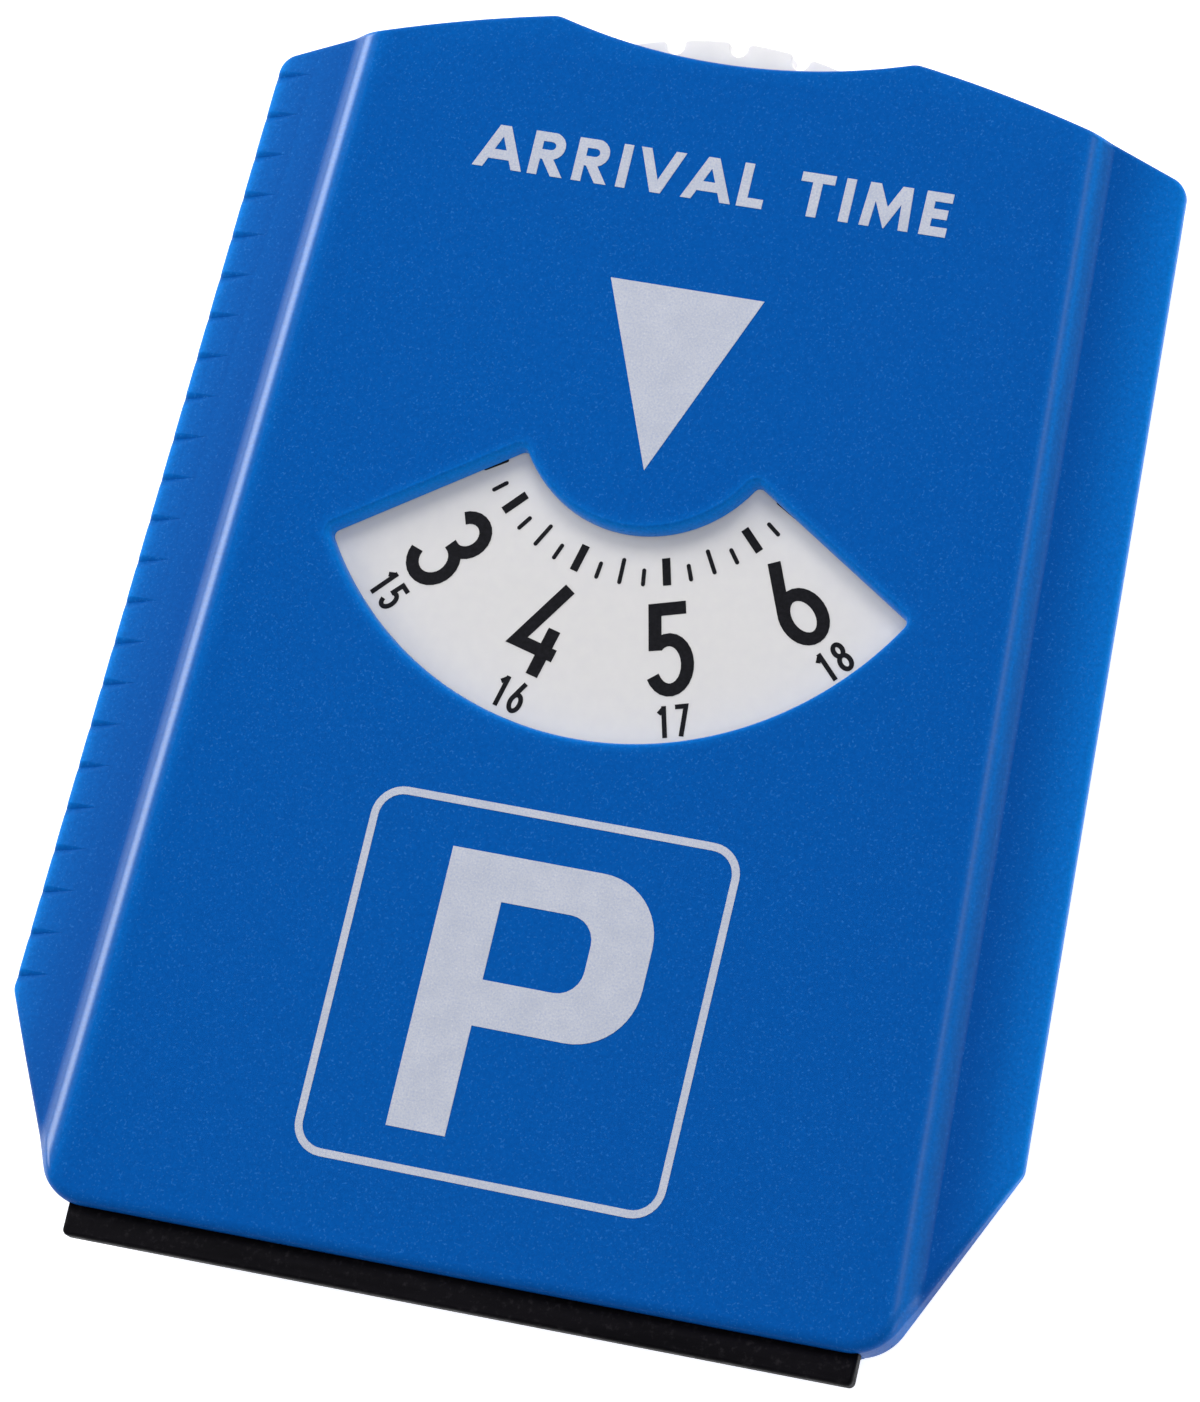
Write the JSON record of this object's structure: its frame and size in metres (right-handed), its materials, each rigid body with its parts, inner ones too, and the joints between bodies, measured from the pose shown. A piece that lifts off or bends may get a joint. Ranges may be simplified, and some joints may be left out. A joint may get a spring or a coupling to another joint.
{
  "type": "parking disc",
  "caption": "Flat plastic parking disc: a two-shell case with a fan-shaped window over a turning time dial, scraper wings down both sides and a rubber squeegee lip.",
  "frame": {"origin": "centre of the overall box in X and Y, on the flat back face", "axes": "+Z out of the printed front face, +Y from the rubber lip towards the finger dip, +X to the reader's right"},
  "size_m": [0.1192, 0.1499, 0.0091],
  "materials": {
    "cover_blue": "satin blue moulded plastic with a fine grain",
    "rear_blue": "satin blue moulded plastic",
    "dial_white": "satin off-white plastic",
    "lip_rubber": "matte black rubber",
    "dial_ink": "pad-printed black ink",
    "face_print": "screen-printed silver-grey ink"
  },
  "bodies": {
    "case": {"front_cover": "cover_blue", "rear_cover": "rear_blue", "squeegee_lip": "lip_rubber", "title_print": "face_print", "arrow_print": "face_print", "sign_frame_print": "face_print", "sign_letter_print": "face_print"},
    "dial": {"time_dial": "dial_white", "dial_hour_numerals": "dial_ink", "dial_24h_numerals": "dial_ink", "dial_hour_ticks": "dial_ink", "dial_half_hour_ticks": "dial_ink", "dial_quarter_ticks": "dial_ink"}
  },
  "joints": [
    {"name": "dial_turn", "type": "hinge", "parent": "case", "child": "dial", "pos_m": [0, 0.031, 0.005], "axis": [0, 0, 1], "continuous": true}
  ]
}
